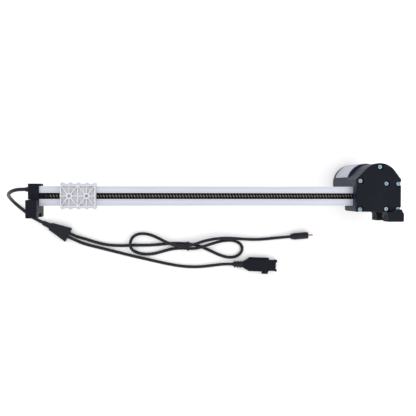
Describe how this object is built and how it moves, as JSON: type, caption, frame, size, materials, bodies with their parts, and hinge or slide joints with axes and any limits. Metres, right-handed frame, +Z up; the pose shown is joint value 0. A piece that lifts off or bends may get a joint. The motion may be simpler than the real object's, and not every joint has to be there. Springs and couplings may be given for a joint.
{
  "type": "rail linear actuator",
  "caption": "Motorised linear actuator with a slotted aluminium rail, a lead screw, a ribbed slider, a worm gearbox with motor, and a lead that splits to a plug and a connector",
  "frame": {"origin": "middle of the actuator's outline on the floor it stands on, measured without the lead and what is on it", "axes": "+X runs along the rail from the tail end cap to the gearbox, +Z points up out of the slotted face of the rail, +Y completes the right-handed set"},
  "size_m": [0.7991, 0.2438, 0.167],
  "materials": {
    "anodised_aluminium": "satin anodised",
    "red_insulation": "satin",
    "black_pvc": "satin",
    "black_nylon": "fine texture",
    "charcoal_nylon": "fine texture",
    "zinc_steel": "bright zinc",
    "bronze": "sintered",
    "bearing_steel": "polished",
    "seal_rubber": "matte",
    "motor_steel": "satin",
    "ferrite": "matte",
    "carbon": "matte",
    "label_foil": "satin",
    "ground_steel": "ground",
    "copper": "satin",
    "dark_steel": "oiled",
    "natural_nylon": "satin",
    "white_acetal": "satin"
  },
  "bodies": {
    "frame": {"rail": "anodised_aluminium", "rail_wire_red": "red_insulation", "rail_wire_black": "black_pvc", "tail_cap": "black_nylon", "tail_bush": "bronze", "tail_bracket": "black_nylon", "tail_screws": "zinc_steel", "lead_gland": "black_pvc", "limit_switches": "black_nylon", "gearbox_housing": "charcoal_nylon", "cover_gasket": "seal_rubber", "gearbox_cover": "black_nylon", "cover_screw_1": "zinc_steel", "cover_screw_2": "zinc_steel", "cover_screw_3": "zinc_steel", "cover_screw_4": "zinc_steel", "cover_screw_5": "zinc_steel", "cover_screw_6": "zinc_steel", "cover_screw_7": "zinc_steel", "bearing_keepers": "charcoal_nylon", "bearing_outer_rings": "bearing_steel", "nose_clevis": "black_nylon", "clevis_bushes": "bronze", "motor_hood": "charcoal_nylon", "hood_screws": "zinc_steel", "motor_can": "motor_steel", "motor_front_plate": "zinc_steel", "shaft_bushes": "bronze", "motor_magnets": "ferrite", "brushes": "carbon", "brush_card": "black_nylon", "rating_label": "label_foil", "main_lead": "black_pvc", "splitter": "black_pvc", "splitter_neck": "black_pvc", "branch_a": "black_pvc", "tie": "black_pvc", "plug_body": "black_pvc", "plug_pin": "copper", "branch_b": "black_pvc", "connector_relief": "black_pvc", "connector_body": "black_nylon", "connector_pins": "copper", "connector_latch": "black_nylon"},
    "rotor": {"rotor_shaft": "ground_steel", "rotor_core": "motor_steel", "windings": "copper", "commutator": "copper", "worm": "ground_steel"},
    "screw": {"lead_screw": "dark_steel", "stop_collar": "seal_rubber", "screw_locknut": "zinc_steel", "wheel_key": "zinc_steel", "worm_wheel": "white_acetal", "bearing_inner_rings": "bearing_steel", "bearing_balls": "bearing_steel"},
    "carriage": {"slider_block": "natural_nylon", "drive_nut": "white_acetal", "glide_strips": "natural_nylon"}
  },
  "joints": [
    {"name": "motor_spin", "type": "hinge", "parent": "frame", "child": "rotor", "pos_m": [0.3232, 0.0179, 0.06], "axis": [0, 0, 1], "range_deg": [-19200, 460800]},
    {"name": "screw_spin", "type": "hinge", "parent": "frame", "child": "screw", "pos_m": [-0.0243, -0.0086, 0.124], "axis": [1, 0, 0], "range_deg": [-14420, 620]},
    {"name": "slider_slide", "type": "slide", "parent": "frame", "child": "carriage", "axis": [1, 0, 0], "range_m": [-0.0205, 0.4805]}
  ],
  "couplings": [
    {"joint": "screw_spin", "follows": "motor_spin", "ratio": -0.03125},
    {"joint": "slider_slide", "follows": "motor_spin", "m_per_rad": 0.000059683}
  ]
}
